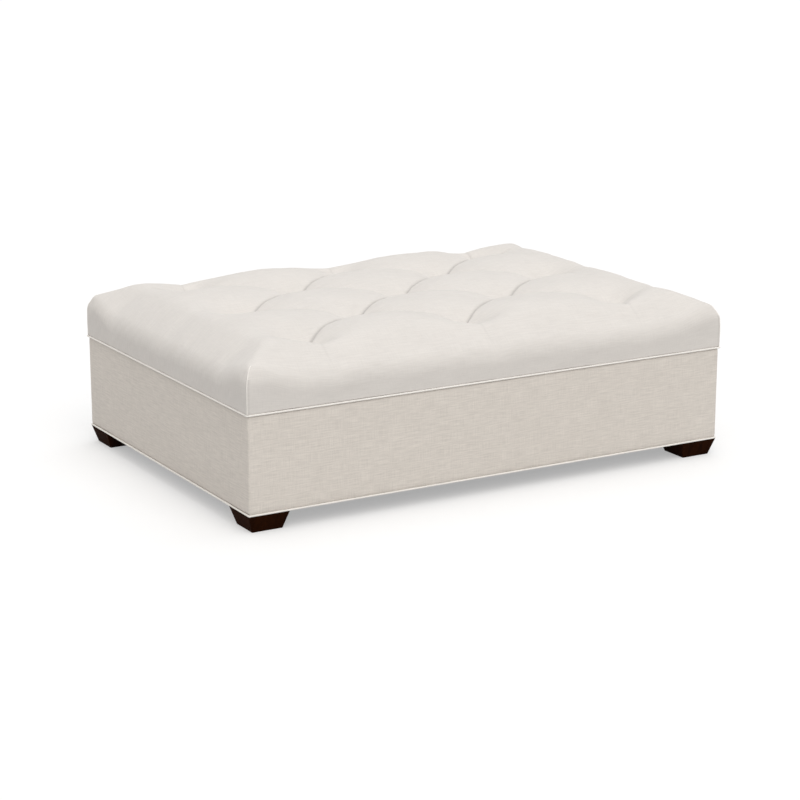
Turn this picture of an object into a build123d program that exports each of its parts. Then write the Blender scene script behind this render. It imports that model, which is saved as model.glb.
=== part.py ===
from build123d import *
import math
import os

# Overall size, measured over the welts, with the floor at z = 0
ottoman_length = 1320
ottoman_width = 918
foot_height = 42
base_height = 231
lid_gap = 3
lid_height = 154

# Upholstery layers and welts
cover_thickness = 6
fabric_thickness = 1.5
rim_cover_thickness = 3
rim_return = 45
lid_flange_width = 45
welt_diameter = 4.5
welt_stand_out = 1
lid_overhang = 1.5
base_corner_radius = 6
lid_corner_radius = 9
rim_edge_radius = 1.25

# Boards of the storage box
board_thickness = 18
floor_thickness = 12
floor_clearance = 0.4
block_height = 22
block_side = 92
block_chamfer = 34
cleat_width = 20
bearer_width = 44
bearer_offset = 210
dust_cover_thickness = 0.8
dust_cover_foot_gap = 1
dust_cover_inset = 3

# Tapered block feet and their hanger bolts
foot_top_side = 104
foot_bottom_side = 78
foot_inset = 0
foot_edge_radius = 2
foot_edge_upright_share = 0.4
foot_bottom_chamfer = 1
bolt_radius = 4
bolt_depth_in_foot = 28
bolt_tip_chamfer = 1
thread_clearance = 0.05
nut_barrel_radius = 5.5
nut_barrel_length = 12
nut_flange_radius = 11
nut_flange_thickness = 1.5
bolt_end_margin = 1

# Tufted lid
deck_thickness = 15
foam_height = 55
column_pitch = 215
row_pitch = 154
tuft_sag = 40
crown_margin = 29
fill_clearance = 0.4
side_straight = 78
roll_radius = 44.5
roll_angle = 66
funnel_depth = 12
funnel_bottom_radius = 5
funnel_height = 45
funnel_angle = 46
funnel_turn = 20
twine_radius = 1.5
twine_clearance = 0.25
washer_radius = 11
washer_thickness = 1.5
washer_clearance = 0.2

# Butt hinges at the back
hinge_spacing = 800
hinge_length = 76
hinge_leaf_width = 22
hinge_leaf_thickness = 1.5
hinge_leaf_corner = 3
knuckle_count = 5
knuckle_radius = 2.25
knuckle_gap = 0.3
pin_radius = 1.1
pin_clearance = 0.05
hinge_stand_out = 0.2
hinge_notch_clearance = 0.5
leaf_screw_spacing = 28
leaf_screws = 3
screw_shank_radius = 1.5
screw_head_radius = 3
screw_head_height = 1.4
base_screw_length = 22
lid_screw_length = 12
screw_clearance = 0.05

# Gas struts, placed from the hinge axis: forward of it and below it
strut_plane_inset = 18
strut_foot_forward = 44
strut_foot_drop = 150
strut_head_forward = 100
strut_head_drop = 14
eye_radius = 8
eye_thickness = 8
eye_bore_radius = 3.05
tube_radius = 7.5
tube_wall = 1
tube_end_thickness = 3
tube_offset = 7
tube_nose_gap = 14
rod_radius = 3.5
rod_clearance = 0.08
piston_thickness = 6
piston_clearance = 0.15
piston_start_gap = 2
bracket_thickness = 2
bracket_width = 30
bracket_height = 44
bracket_corner = 5
stud_radius = 3
stud_clearance = 0.5
stud_head_radius = 5
stud_head_thickness = 2
lid_bracket_reach = 24
lid_bracket_drop = 10
bracket_screw_spacing = 30
lid_bracket_length = 46
lid_bracket_screw_spacing = 30

# Overrun for cuts
overrun = 5

# Levels
base_bottom = foot_height
rim_top = base_bottom + base_height
board_top = rim_top - rim_cover_thickness
floor_bottom = base_bottom + block_height
floor_top = floor_bottom + floor_thickness
lid_bottom = rim_top + lid_gap
crest = lid_bottom + lid_height
deck_bottom = lid_bottom + fabric_thickness
deck_top = deck_bottom + deck_thickness
foam_top = deck_top + foam_height

# Half sizes in plan
lid_half_x = ottoman_length / 2 - welt_stand_out
lid_half_y = ottoman_width / 2 - welt_stand_out
base_half_x = lid_half_x - lid_overhang
base_half_y = lid_half_y - lid_overhang
board_half_x = base_half_x - cover_thickness
board_half_y = base_half_y - cover_thickness
inner_half_x = board_half_x - board_thickness
inner_half_y = board_half_y - board_thickness
rim_width = cover_thickness + board_thickness + fabric_thickness

# Hinge axis
axis_y = base_half_y + hinge_stand_out
axis_z = (board_top + lid_bottom) / 2

# Foot centres
foot_x = base_half_x - foot_inset - foot_top_side / 2
foot_y = base_half_y - foot_inset - foot_top_side / 2

# Tuft places
tuft_places = [(0, 0)]
tuft_places += [(2 * sx * column_pitch, 0) for sx in (-1, 1)]
tuft_places += [(0, 2 * sy * row_pitch) for sy in (-1, 1)]
tuft_places += [
    (reach * sx * column_pitch, reach * sy * row_pitch)
    for reach in (1, 2)
    for sx in (-1, 1)
    for sy in (-1, 1)
]

corners = [(sx, sy) for sx in (-1, 1) for sy in (-1, 1)]


def block(x0, x1, y0, y1, z0, z1):
    """A rectangular solid between two corners."""
    plan = Pos((x0 + x1) / 2, (y0 + y1) / 2, z0) * Rectangle(abs(x1 - x0), abs(y1 - y0))
    return extrude(plan, z1 - z0)


def prism(points, z0, z1):
    """A solid over a plan outline."""
    return extrude(Pos(0, 0, z0) * make_face(Polyline(*points, close=True)), z1 - z0)


def rod_between(x, y, z0, z1, radius):
    """An upright cylinder."""
    return extrude(Pos(x, y, z0) * Circle(radius), z1 - z0)


def cross_rod(x0, x1, y, z, radius):
    """A cylinder lying along X."""
    return extrude(Plane(origin=(x0, y, z), x_dir=(0, 1, 0), z_dir=(1, 0, 0)) * Circle(radius), x1 - x0)


def join(pieces):
    """One shape from touching or overlapping pieces."""
    return pieces[0].fuse(*pieces[1:])


def group(pieces):
    """Separate solids kept side by side in one sub-part."""
    return Compound(children=[solid for piece in pieces for solid in piece.solids()])


# Pilot holes

def leaf_screw_places():
    """Screw places along X on both hinges."""
    places = []
    for side in (-1, 1):
        for index in range(leaf_screws):
            step = index - (leaf_screws - 1) / 2
            places.append(side * hinge_spacing / 2 + step * leaf_screw_spacing)
    return places


def screw_drills(z0, z1):
    """Pilot holes for the screws of both hinges."""
    radius = screw_shank_radius + screw_clearance
    return [rod_between(x, leaf_screw_y, z0, z1, radius) for x in leaf_screw_places()]


# Boards

def long_panel(side):
    """The front or back board, which runs the full length."""
    y0 = side * inner_half_y
    y1 = side * board_half_y
    return block(-board_half_x, board_half_x, y0, y1, base_bottom, board_top)


def short_panel(side):
    """The left or right board, between the front and back boards."""
    x0 = side * inner_half_x
    x1 = side * board_half_x
    return block(x0, x1, -inner_half_y, inner_half_y, base_bottom, board_top)


def floor_panel():
    """The plywood floor of the storage space."""
    half_x = inner_half_x - floor_clearance
    half_y = inner_half_y - floor_clearance
    return block(-half_x, half_x, -half_y, half_y, floor_bottom, floor_top)


def corner_block(sx, sy):
    """A block in a bottom corner, with its free corner cut off and a bore for the foot nut."""
    x0, x1 = inner_half_x - block_side, inner_half_x
    y0, y1 = inner_half_y - block_side, inner_half_y
    outline = [(x1, y1), (x0, y1), (x0, y0 + block_chamfer), (x0 + block_chamfer, y0), (x1, y0)]
    body = prism([(sx * x, sy * y) for x, y in outline], base_bottom, floor_bottom)
    nut_floor = floor_bottom - nut_flange_thickness
    bore = rod_between(
        sx * foot_x, sy * foot_y, base_bottom - overrun, nut_floor, nut_barrel_radius + thread_clearance
    )
    seat = rod_between(
        sx * foot_x, sy * foot_y, nut_floor, floor_bottom + overrun, nut_flange_radius + thread_clearance
    )
    return body - bore - seat


def floor_cleats():
    """Battens round the walls that carry the floor, between the corner blocks."""
    end_x = inner_half_x - block_side
    end_y = inner_half_y - block_side
    pieces = []
    for side in (-1, 1):
        y0, y1 = side * (inner_half_y - cleat_width), side * inner_half_y
        pieces.append(block(-end_x, end_x, y0, y1, base_bottom, floor_bottom))
        x0, x1 = side * (inner_half_x - cleat_width), side * inner_half_x
        pieces.append(block(x0, x1, -end_y, end_y, base_bottom, floor_bottom))
    return group(pieces)


def floor_bearers():
    """Two cross battens under the middle of the floor."""
    end_y = inner_half_y - cleat_width
    pieces = []
    for side in (-1, 1):
        middle = side * bearer_offset
        x0, x1 = middle - bearer_width / 2, middle + bearer_width / 2
        pieces.append(block(x0, x1, -end_y, end_y, base_bottom, floor_bottom))
    return group(pieces)


# Feet

def foot(sx, sy):
    """A square block foot that tapers to the floor, with a blind bore for its bolt."""
    top = Pos(0, 0, foot_height) * Rectangle(foot_top_side, foot_top_side)
    bottom = Rectangle(foot_bottom_side, foot_bottom_side)
    body = loft([bottom, top])
    slanted = [edge for edge in body.edges() if abs(edge.tangent_at(0).Z) > foot_edge_upright_share]
    body = fillet(slanted, foot_edge_radius)
    body = chamfer(body.faces().sort_by(Axis.Z)[0].edges(), foot_bottom_chamfer)
    bore = rod_between(
        0, 0, foot_height - bolt_depth_in_foot, foot_height + overrun, bolt_radius + thread_clearance
    )
    return Pos(sx * foot_x, sy * foot_y, 0) * (body - bore)


def foot_bolt(sx, sy):
    """A hanger bolt from the foot up into the nut."""
    bottom = foot_height - bolt_depth_in_foot + bolt_end_margin / 2
    top = floor_bottom - bolt_end_margin
    shank = rod_between(sx * foot_x, sy * foot_y, bottom, top, bolt_radius)
    return chamfer(shank.edges().sort_by(Axis.Z)[0], bolt_tip_chamfer)


def foot_nut(sx, sy):
    """A flanged nut pressed into the corner block from above."""
    flange_bottom = floor_bottom - nut_flange_thickness
    barrel = rod_between(
        sx * foot_x, sy * foot_y, flange_bottom - nut_barrel_length, flange_bottom, nut_barrel_radius
    )
    flange = rod_between(sx * foot_x, sy * foot_y, flange_bottom, floor_bottom, nut_flange_radius)
    bore = rod_between(
        sx * foot_x, sy * foot_y, base_bottom, floor_bottom + overrun, bolt_radius + thread_clearance
    )
    return barrel + flange - bore


# Covers of the base

def cover_profile(face):
    """Section of a base cover: down the outside, over the rim and a short way down inside."""
    board_outside = face - cover_thickness
    board_inside = board_outside - board_thickness
    return_inside = board_inside - fabric_thickness
    return_bottom = rim_top - rim_return
    points = [
        (face, base_bottom),
        (face, rim_top),
        (return_inside, rim_top),
        (return_inside, return_bottom),
        (board_inside, return_bottom),
        (board_inside, board_top),
        (board_outside, board_top),
        (board_outside, base_bottom),
    ]
    section = make_face(Polyline(*points, close=True))
    rim_corners = section.vertices().group_by(Axis.Y)[-1]
    return fillet(rim_corners, rim_edge_radius)


def base_plan():
    """Rounded plan of the base covers as an upright prism."""
    plan = Pos(0, 0, base_bottom - overrun) * RectangleRounded(
        2 * base_half_x, 2 * base_half_y, base_corner_radius
    )
    return extrude(plan, base_height + 2 * overrun)


def base_cover(side, along_x):
    """One wall of fabric and padding, mitred at its ends."""
    if along_x:
        face, end, section_plane = base_half_y, base_half_x, Plane.YZ
    else:
        face, end, section_plane = base_half_x, base_half_y, Plane.XZ
    section = cover_profile(face)
    wall = extrude(section_plane * section, end, both=True)
    deep = rim_width + overrun
    if along_x:
        mitre = [(-end, face), (end, face), (end - deep, face - deep), (deep - end, face - deep)]
    else:
        mitre = [(face, -end), (face, end), (face - deep, end - deep), (face - deep, deep - end)]
    wall = wall & prism(mitre, base_bottom - overrun, rim_top + overrun) & base_plan()
    wall -= welt_rebate(base_half_x, base_half_y, base_corner_radius, base_bottom)
    if side < 0:
        wall = mirror(wall, Plane.XZ if along_x else Plane.YZ)
    return wall


def hinge_notches():
    """Room for the base leaves in the rim of the back cover."""
    pieces = []
    for side in (-1, 1):
        middle = side * hinge_spacing / 2
        reach = hinge_length / 2 + hinge_notch_clearance
        inside = axis_y - hinge_leaf_width - hinge_notch_clearance
        x0, x1 = middle - reach, middle + reach
        pieces.append(block(x0, x1, inside, base_half_y + overrun, board_top, rim_top + overrun))
    return pieces


def welt_rebate(half_x, half_y, radius, bottom):
    """The step round a bottom edge that the welt lies in."""
    depth = welt_diameter - welt_stand_out
    outside = Rectangle(2 * (half_x + overrun), 2 * (half_y + overrun))
    kept = RectangleRounded(2 * (half_x - depth), 2 * (half_y - depth), radius - depth)
    return extrude(Pos(0, 0, bottom - overrun) * (outside - kept), welt_diameter + overrun)


def welt(half_x, half_y, radius, bottom):
    """A piped cord round the outline."""
    inset = welt_diameter / 2 - welt_stand_out
    plan = RectangleRounded(2 * (half_x - inset), 2 * (half_y - inset), radius - inset)
    path = Pos(0, 0, bottom + welt_diameter / 2) * plan.wire()
    start = path @ 0
    section = Plane(origin=start, z_dir=path % 0) * Circle(welt_diameter / 2)
    return sweep(section, path=path)


# Linings and dust cover

def wall_lining(side, along_x):
    """Cloth on an inside wall, from the floor up to the turned-in cover."""
    z0, z1 = floor_top, rim_top - rim_return
    if along_x:
        y0, y1 = side * (inner_half_y - fabric_thickness), side * inner_half_y
        return block(-inner_half_x, inner_half_x, y0, y1, z0, z1)
    x0, x1 = side * (inner_half_x - fabric_thickness), side * inner_half_x
    end = inner_half_y - fabric_thickness
    return block(x0, x1, -end, end, z0, z1)


def floor_lining():
    """Cloth on the floor, inside the wall linings."""
    half_x = inner_half_x - fabric_thickness
    half_y = inner_half_y - fabric_thickness
    return block(-half_x, half_x, -half_y, half_y, floor_top, floor_top + fabric_thickness)


def dust_cover():
    """Thin cloth under the base, cut out round the feet."""
    half_x = board_half_x - dust_cover_inset
    half_y = board_half_y - dust_cover_inset
    sheet = block(-half_x, half_x, -half_y, half_y, base_bottom - dust_cover_thickness, base_bottom)
    reach = foot_top_side / 2 + dust_cover_foot_gap
    for sx, sy in corners:
        sheet -= block(
            sx * (foot_x - reach),
            sx * (half_x + overrun),
            sy * (foot_y - reach),
            sy * (half_y + overrun),
            base_bottom - dust_cover_thickness - overrun,
            base_bottom + overrun,
        )
    return sheet


# Tufted lid

stretch = column_pitch / row_pitch
dome_radius = (column_pitch ** 2 + tuft_sag ** 2) / (2 * tuft_sag)


def dome_at(x, y, top):
    """A ball whose top is the crest of one biscuit."""
    return Pos(x, y, top - dome_radius) * Rot(90, 0, 0) * Sphere(dome_radius)


def vault_along_x(y, top, length):
    """A lying cylinder whose top line is the crest of a biscuit that runs to an end."""
    return Pos(0, y, top - dome_radius) * Rot(0, 90, 0) * Cylinder(dome_radius, length)


def vault_along_y(x, top, length):
    """A lying cylinder whose top line is the crest of a biscuit that runs to a side."""
    return Pos(x, 0, top - dome_radius) * Rot(90, 0, 0) * Cylinder(dome_radius, length)


def funnel(x, y, top):
    """A cone that draws the cloth down at a tuft, on the square net."""
    spread = math.tan(math.radians(funnel_angle))
    plug = Cone(
        funnel_bottom_radius,
        funnel_bottom_radius + funnel_height * spread,
        funnel_height,
        align=(Align.CENTER, Align.CENTER, Align.MIN),
    )
    return Pos(x, y, top - tuft_sag - funnel_depth) * Rot(0, 0, funnel_turn) * plug


def cell(outline, tufts, domes, top, bottom):
    """One patch of the net under its domes, with the cloth drawn down at its tufts."""
    body = prism(outline, bottom, top + overrun)
    for dome in domes:
        body &= dome
    return body.cut(*[funnel(x, y, top) for x, y in tufts])


def biscuits(top, bottom):
    """The domed diamonds and edge biscuits, on a square net that is then drawn in across."""
    p = column_pitch
    end_x = ottoman_length / 2 + overrun
    end_y = (ottoman_width / 2 + overrun) * stretch
    cells = []
    for side in (-1, 1):
        for x, y in ((side * p, 0), (0, side * p)):
            diamond = [(x - p, y), (x, y - p), (x + p, y), (x, y + p)]
            cells.append(cell(diamond, diamond, [dome_at(x, y, top)], top, bottom))
    for sx, sy in corners:
        x1, x2, x3 = sx * p, 2 * sx * p, sx * end_x
        y1, y2, y3 = sy * p, 2 * sy * p, sy * end_y
        half = [(x2, 0), (x1, y1), (x2, y2)]
        cells.append(cell(half, half, [dome_at(x2, y1, top)], top, bottom))
        half = [(0, y2), (x1, y1), (x2, y2)]
        cells.append(cell(half, half, [dome_at(x1, y2, top)], top, bottom))
        strip = [(x2, 0), (x3, 0), (x3, y2), (x2, y2)]
        vault = vault_along_x(y1, top, 2 * end_x)
        cells.append(cell(strip, [(x2, 0), (x2, y2)], [vault], top, bottom))
        strip = [(0, y2), (0, y3), (x2, y3), (x2, y2)]
        vault = vault_along_y(x1, top, 2 * end_y)
        cells.append(cell(strip, [(0, y2), (x2, y2)], [vault], top, bottom))
        square = [(x2, y2), (x3, y2), (x3, y3), (x2, y3)]
        vaults = [vault_along_x(3 * y1, top, 2 * end_x), vault_along_y(3 * x1, top, 2 * end_y)]
        cells.append(cell(square, [(x2, y2)], vaults, top, bottom))
    return scale(join(cells), by=(1, 1 / stretch, 1))


def roll_section(half, inset, bottom):
    """Section of the lid: straight side, a rolled edge, then a long crown to the middle."""
    angle = math.radians(roll_angle)
    roll_start = lid_bottom + side_straight
    hull_top = crest + crown_margin
    crown_radius = (hull_top - roll_start - roll_radius * math.sin(angle)) / (1 - math.sin(angle))
    roll_x = half - roll_radius
    crown_x = roll_x + (roll_radius - crown_radius) * math.cos(angle)
    crown_z = roll_start + (roll_radius - crown_radius) * math.sin(angle)
    small = roll_radius - inset
    large = crown_radius - inset
    meet_x = roll_x + small * math.cos(angle)
    meet_z = roll_start + small * math.sin(angle)
    top_z = crown_z + large
    lines = []
    for side in (-1, 1):
        lines.append(Line((side * (half - inset), bottom), (side * (half - inset), roll_start)))
        middle = angle / 2
        lines.append(
            ThreePointArc(
                (side * (half - inset), roll_start),
                (side * (roll_x + small * math.cos(middle)), roll_start + small * math.sin(middle)),
                (side * meet_x, meet_z),
            )
        )
        middle = (angle + math.pi / 2) / 2
        lines.append(
            ThreePointArc(
                (side * meet_x, meet_z),
                (side * (crown_x + large * math.cos(middle)), crown_z + large * math.sin(middle)),
                (side * crown_x, top_z),
            )
        )
    lines.append(Line((-crown_x, top_z), (crown_x, top_z)))
    lines.append(Line((inset - half, bottom), (half - inset, bottom)))
    return make_face(Wire(edges=[line.edge() for line in lines]))


def lid_hull(inset, bottom):
    """The rolled box that all biscuits stay within; its rolls meet in a mitre at the corners."""
    along = extrude(Plane.XZ * roll_section(lid_half_x, inset, bottom), ottoman_width, both=True)
    across = extrude(Plane.YZ * roll_section(lid_half_y, inset, bottom), ottoman_length, both=True)
    plan = Pos(0, 0, bottom) * RectangleRounded(
        2 * (lid_half_x - inset), 2 * (lid_half_y - inset), lid_corner_radius - inset
    )
    return along & across & extrude(plan, crest - bottom + overrun)


def tufted_form(inset, bottom):
    """The whole tufted cushion, drawn in by an even inset."""
    return lid_hull(inset, bottom) & biscuits(crest - inset, bottom - overrun)


def twine_bores(z0, z1):
    """Bores for the tufting twines."""
    return [rod_between(x, y, z0, z1, twine_radius + twine_clearance) for x, y in tuft_places]


def lid_deck():
    """The plywood board of the lid, bored for the twines and recessed for their washers."""
    half_x = lid_half_x - cover_thickness
    half_y = lid_half_y - cover_thickness
    plan = Pos(0, 0, deck_bottom) * RectangleRounded(
        2 * half_x, 2 * half_y, lid_corner_radius - cover_thickness
    )
    board = extrude(plan, deck_thickness)
    recesses = [
        rod_between(
            x, y, deck_bottom - overrun, deck_bottom + washer_thickness, washer_radius + washer_clearance
        )
        for x, y in tuft_places
    ]
    bores = twine_bores(deck_bottom, deck_top + overrun)
    pilots = screw_drills(deck_bottom - overrun, lid_leaf_bottom + lid_screw_length)
    return board.cut(*recesses, *bores, *pilots)


def tufted_cover(inner_form):
    """Fabric and batting over the lid, turned under its edges."""
    shell = tufted_form(0, lid_bottom) - inner_form
    open_x = lid_half_x - lid_flange_width
    open_y = lid_half_y - lid_flange_width
    window = block(-open_x, open_x, -open_y, open_y, lid_bottom - overrun, deck_bottom)
    rebate = welt_rebate(lid_half_x, lid_half_y, lid_corner_radius, lid_bottom)
    pilots = screw_drills(lid_bottom - overrun, deck_bottom + overrun)
    return shell.cut(window, rebate, *pilots)


def lid_lining():
    """Cloth under the deck, inside the turned-under cover."""
    half_x = lid_half_x - lid_flange_width
    half_y = lid_half_y - lid_flange_width
    return block(-half_x, half_x, -half_y, half_y, lid_bottom, deck_bottom)


def washer(x, y):
    """A washer in its recess under the deck."""
    disc = rod_between(x, y, deck_bottom, deck_bottom + washer_thickness, washer_radius)
    return disc - rod_between(x, y, lid_bottom, deck_top, twine_radius + twine_clearance)


def twine(x, y):
    """A tufting twine from its washer to the back of the fabric."""
    top = crest - tuft_sag - funnel_depth - cover_thickness
    return rod_between(x, y, deck_bottom, top, twine_radius)


# Hinges

base_leaf_top = board_top + hinge_leaf_thickness
lid_leaf_bottom = lid_bottom - hinge_leaf_thickness
leaf_screw_y = axis_y - (hinge_leaf_width + knuckle_radius) / 2


def knuckle_span(index):
    """Both ends of a knuckle along the hinge."""
    pitch = hinge_length / knuckle_count
    start = index * pitch - hinge_length / 2
    return start + knuckle_gap / 2, start + pitch - knuckle_gap / 2


def hinge_leaf(middle, on_lid):
    """A leaf with its share of the knuckles, drilled and countersunk."""
    z0, z1 = (lid_leaf_bottom, lid_bottom) if on_lid else (board_top, base_leaf_top)
    plan = Pos(0, axis_y - hinge_leaf_width / 2, z0) * RectangleRounded(
        hinge_length, hinge_leaf_width, hinge_leaf_corner
    )
    root = Pos(0, axis_y - hinge_leaf_corner, z0) * Rectangle(hinge_length, 2 * hinge_leaf_corner)
    leaf = extrude(plan + root, z1 - z0)
    leaf &= block(-hinge_length, hinge_length, axis_y - hinge_leaf_width, axis_y, z0, z1)
    for index in range(knuckle_count):
        x0, x1 = knuckle_span(index)
        if (index % 2 == 1) == on_lid:
            leaf += cross_rod(x0, x1, axis_y, axis_z, knuckle_radius)
        else:
            leaf -= block(
                x0 - knuckle_gap,
                x1 + knuckle_gap,
                axis_y - knuckle_radius - knuckle_gap,
                axis_y + knuckle_radius,
                z0 - overrun,
                z1 + overrun,
            )
    leaf -= cross_rod(-hinge_length, hinge_length, axis_y, axis_z, pin_radius + pin_clearance)
    leaf = Pos(middle, 0, 0) * leaf
    return leaf.cut(*[screw_seat(x, on_lid) for x in leaf_screw_places() if abs(x - middle) < hinge_length])


def screw_body(length, slack):
    """A countersunk screw standing on its tip, its head's top at zero."""
    head_radius = screw_head_radius + slack
    shank_radius = screw_shank_radius + slack
    head = Pos(0, 0, -screw_head_height / 2) * Cone(shank_radius, head_radius, screw_head_height)
    shank = extrude(Pos(0, 0, -screw_head_height) * Circle(shank_radius), screw_head_height - length)
    return head + shank


def screw_seat(x, on_lid):
    """The countersunk hole of a leaf screw."""
    return leaf_screw(x, on_lid, screw_clearance)


def leaf_screw(x, on_lid, slack=0):
    """A leaf screw in its place."""
    if on_lid:
        return Pos(x, leaf_screw_y, lid_leaf_bottom) * Rot(180, 0, 0) * screw_body(lid_screw_length, slack)
    return Pos(x, leaf_screw_y, base_leaf_top) * screw_body(base_screw_length, slack)


def hinge_pin(middle):
    """The pin through all knuckles of a hinge."""
    half = hinge_length / 2
    return cross_rod(middle - half, middle + half, axis_y, axis_z, pin_radius)


# Gas struts

strut_x = inner_half_x - fabric_thickness - strut_plane_inset
foot_point = (axis_y - strut_foot_forward, axis_z - strut_foot_drop)
head_point = (axis_y - strut_head_forward, axis_z - strut_head_drop)
closed_length = math.dist(foot_point, head_point)
tube_end = closed_length - tube_nose_gap
piston_start = tube_offset + tube_end_thickness + piston_start_gap
strut_plane = Plane(
    origin=(strut_x, *foot_point),
    x_dir=(1, 0, 0),
    z_dir=(0, head_point[0] - foot_point[0], head_point[1] - foot_point[1]),
)


def revolved(section):
    """A turned piece round the strut's own line."""
    return strut_plane * revolve(Plane.XZ * section, Axis.Z)


def eye(at):
    """A flat eye at a distance along the strut, with its bore across."""
    ring = Pos(0, 0, at) * Rot(0, 90, 0) * Cylinder(eye_radius, eye_thickness)
    return strut_plane * ring


def eye_bore(at):
    """The bore of an eye."""
    return strut_plane * (Pos(0, 0, at) * Rot(0, 90, 0) * Cylinder(eye_bore_radius, 2 * eye_thickness))


def strut_tube():
    """The pressure tube, its closed foot and the eye on it."""
    bore_radius = tube_radius - tube_wall
    inner_start = tube_offset + tube_end_thickness
    inner_end = tube_end - tube_end_thickness
    throat = rod_radius + rod_clearance
    outline = [
        (0, tube_offset),
        (tube_radius - tube_wall, tube_offset),
        (tube_radius, tube_offset + tube_wall),
        (tube_radius, tube_end - tube_wall),
        (tube_radius - tube_wall, tube_end),
        (throat, tube_end),
        (throat, inner_end),
        (bore_radius, inner_end),
        (bore_radius, inner_start),
        (0, inner_start),
    ]
    body = revolved(make_face(Polyline(*outline, close=True)))
    return body + eye(0) - eye_bore(0)


def strut_rod():
    """The rod with its piston and the eye at its head."""
    piston_radius = tube_radius - tube_wall - piston_clearance
    piston_end = piston_start + piston_thickness
    outline = [
        (0, piston_start),
        (piston_radius, piston_start),
        (piston_radius, piston_end),
        (rod_radius, piston_end),
        (rod_radius, closed_length),
        (0, closed_length),
    ]
    body = revolved(make_face(Polyline(*outline, close=True)))
    return body + eye(closed_length) - eye_bore(closed_length)


def wall_bracket():
    """A plate on the side wall with the stud that carries the strut's foot."""
    wall = inner_half_x - fabric_thickness
    plate_plane = Plane(origin=(wall, *foot_point), x_dir=(0, 1, 0), z_dir=(-1, 0, 0))
    plate_outline = RectangleRounded(bracket_width, bracket_height, bracket_corner)
    plate = extrude(plate_plane * plate_outline, bracket_thickness)
    stud_end = strut_x - eye_thickness / 2 - stud_clearance
    stud = cross_rod(stud_end, wall - bracket_thickness, *foot_point, stud_radius)
    head = cross_rod(stud_end - stud_head_thickness, stud_end, *foot_point, stud_head_radius)
    bracket = plate + stud + head
    return bracket.cut(*[wall_screw(side, screw_clearance) for side in (-1, 1)])


def wall_screw(side, slack=0):
    """A screw through the wall bracket."""
    face = inner_half_x - fabric_thickness - bracket_thickness
    y, z = foot_point[0], foot_point[1] + side * bracket_screw_spacing / 2
    return Pos(face, y, z) * Rot(0, -90, 0) * screw_body(lid_screw_length, slack)


def lid_bracket():
    """An angle under the lid whose stud points at the rod's eye."""
    stud_end = strut_x - eye_thickness / 2 - stud_clearance
    flange_face = stud_end - stud_head_thickness
    web = flange_face - bracket_thickness
    y, z = head_point
    half = lid_bracket_length / 2
    plate_inside = flange_face - lid_bracket_reach
    plate = block(plate_inside, flange_face, y - half, y + half, lid_leaf_bottom, lid_bottom)
    drop = z - lid_bracket_drop
    outline = [
        (y - half, lid_bottom),
        (y + half, lid_bottom),
        (y + stud_head_radius, drop),
        (y - stud_head_radius, drop),
    ]
    flange_plane = Plane(origin=(web, 0, 0), x_dir=(0, 1, 0), z_dir=(1, 0, 0))
    flange = extrude(flange_plane * make_face(Polyline(*outline, close=True)), bracket_thickness)
    stud = cross_rod(flange_face, stud_end, y, z, stud_radius)
    bracket = plate + flange + stud
    return bracket.cut(*[lid_bracket_screw(side, screw_clearance) for side in (-1, 1)])


def lid_bracket_screw(side, slack=0):
    """A screw up through the lid bracket."""
    stud_end = strut_x - eye_thickness / 2 - stud_clearance
    x = stud_end - stud_head_thickness - (lid_bracket_reach + bracket_thickness) / 2
    y = head_point[0] + side * lid_bracket_screw_spacing / 2
    return Pos(x, y, lid_leaf_bottom) * Rot(180, 0, 0) * screw_body(lid_screw_length, slack)


def both_sides(shape):
    """The shape on the right and its mirror on the left."""
    return [shape, mirror(shape, Plane.YZ)]


# Assembly

def drilled_back_panel():
    """The back board with pilot holes for the hinges."""
    pilots = screw_drills(base_leaf_top - base_screw_length, board_top + overrun)
    return long_panel(1).cut(*pilots)


def drilled_side(shape):
    """A side board or lining with pilot holes for the wall bracket, on the right."""
    return shape.cut(*[wall_screw(side, screw_clearance) for side in (-1, 1)])


def drilled_over_bracket(shape):
    """A lid layer with pilot holes for both lid brackets."""
    drills = [lid_bracket_screw(side, screw_clearance) for side in (-1, 1)]
    return shape.cut(*[piece for drill in drills for piece in both_sides(drill)])


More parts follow.
